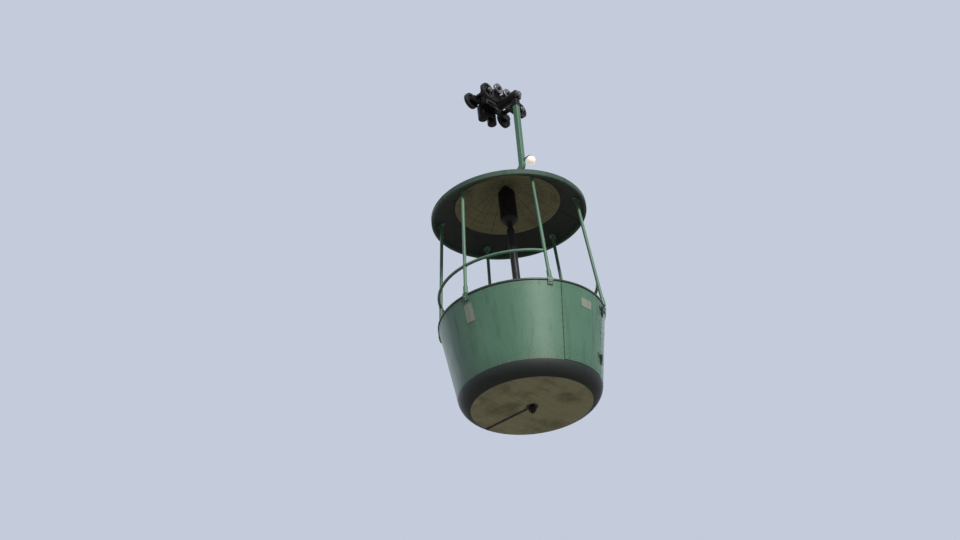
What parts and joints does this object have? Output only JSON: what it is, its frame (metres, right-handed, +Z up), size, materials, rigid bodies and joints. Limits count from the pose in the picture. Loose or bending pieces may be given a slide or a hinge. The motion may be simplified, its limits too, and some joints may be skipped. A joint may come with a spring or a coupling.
{
  "type": "cable car cabin",
  "caption": "Round open cable car cabin: a tub with a door, splayed posts and a hat-shaped roof, hung by a bent arm from a wheeled rope-grip carriage that it swings under.",
  "frame": {"origin": "on the rope's axis in the middle of the grip jaws, straight above the cabin's axis", "axes": "+X along the rope in the direction of travel, +Z up; the door is on the -Y side and the hanger stands on the -Y side of the rope"},
  "size_m": [1.623, 1.5961, 3.648],
  "materials": {
    "green_paint": "satin enamel, chalked and rubbed at the edges",
    "dark_green_paint": "satin enamel, grimy",
    "bead_trim": "satin enamel, rubbed",
    "ceiling_board": "varnished board, stained",
    "floor_ply": "weathered ply",
    "deck_rubber": "ribbed mat, dusty",
    "dark_steel": "black enamel, worn",
    "bright_steel": "plated, handled",
    "seat_paint": "satin enamel",
    "seat_vinyl": "padded leathercloth",
    "lamp_glass": "opal glass",
    "carriage_iron": "black, oily",
    "worn_steel": "worn bright, oily",
    "wheel_rubber": "moulded rubber, dusty"
  },
  "bodies": {
    "carriage": {"carriage_frame": "carriage_iron", "fixed_jaw": "worn_steel", "moving_jaw": "worn_steel", "grip_levers": "carriage_iron", "grip_springs": "carriage_iron", "pivot_pin": "worn_steel", "wheel_axles": "worn_steel"},
    "wheel_front_left": {"hub_front_left": "carriage_iron", "tyre_front_left": "wheel_rubber"},
    "wheel_front_right": {"hub_front_right": "carriage_iron", "tyre_front_right": "wheel_rubber"},
    "wheel_rear_left": {"hub_rear_left": "carriage_iron", "tyre_rear_left": "wheel_rubber"},
    "wheel_rear_right": {"hub_rear_right": "carriage_iron", "tyre_rear_right": "wheel_rubber"},
    "roller_front": {"roller_front": "worn_steel"},
    "roller_rear": {"roller_rear": "worn_steel"},
    "door": {"door_panel": "green_paint", "door_bead": "bead_trim", "door_hinges": "dark_steel", "door_pull": "bright_steel", "door_latch": "dark_steel"},
    "cabin": {"base_pan": "dark_green_paint", "ceiling_liner": "ceiling_board", "deck": "deck_rubber", "door_stops": "green_paint", "floor_board": "floor_ply", "floor_nut": "dark_steel", "floor_ring": "dark_green_paint", "floor_strap": "dark_steel", "front_backrest": "seat_vinyl", "front_bench": "seat_paint", "front_cushion": "seat_vinyl", "guard_rail": "green_paint", "hanger_arm": "green_paint", "hanger_eye": "carriage_iron", "lamp_globe": "lamp_glass", "lamp_stalk": "green_paint", "pole": "dark_steel", "post_1": "green_paint", "post_2": "green_paint", "post_3": "green_paint", "post_4": "green_paint", "post_5": "green_paint", "post_6": "green_paint", "post_feet": "green_paint", "rear_backrest": "seat_vinyl", "rear_bench": "seat_paint", "rear_cushion": "seat_vinyl", "rim_bead": "bead_trim", "roof": "dark_green_paint", "roof_cap": "green_paint", "roof_rim": "green_paint", "sole_plate": "dark_steel", "spring_barrel": "dark_steel", "tub_wall": "green_paint", "wall_hinges": "dark_steel"}
  },
  "joints": [
    {"name": "front_left_wheel_turn", "type": "hinge", "parent": "carriage", "child": "wheel_front_left", "pos_m": [0.25, 0.11, -0.01], "axis": [0, 1, 0], "continuous": true},
    {"name": "front_right_wheel_turn", "type": "hinge", "parent": "carriage", "child": "wheel_front_right", "pos_m": [0.25, -0.11, -0.01], "axis": [0, 1, 0], "continuous": true},
    {"name": "rear_left_wheel_turn", "type": "hinge", "parent": "carriage", "child": "wheel_rear_left", "pos_m": [-0.25, 0.11, -0.01], "axis": [0, 1, 0], "continuous": true},
    {"name": "rear_right_wheel_turn", "type": "hinge", "parent": "carriage", "child": "wheel_rear_right", "pos_m": [-0.25, -0.11, -0.01], "axis": [0, 1, 0], "continuous": true},
    {"name": "front_roller_turn", "type": "hinge", "parent": "carriage", "child": "roller_front", "pos_m": [0.07, -0.113, 0.102], "axis": [0, 1, 0], "continuous": true},
    {"name": "rear_roller_turn", "type": "hinge", "parent": "carriage", "child": "roller_rear", "pos_m": [-0.07, -0.113, 0.102], "axis": [0, 1, 0], "continuous": true},
    {"name": "cabin_swing", "type": "hinge", "parent": "carriage", "child": "cabin", "pos_m": [0, -0.26, -0.04], "axis": [0, 1, 0], "range_deg": [-30, 30]},
    {"name": "door_swing", "type": "hinge", "parent": "cabin", "child": "door", "pos_m": [0.26626, -0.65902, -3.19207], "axis": [0.0554, -0.1371, 0.989], "range_deg": [0, 95]}
  ]
}
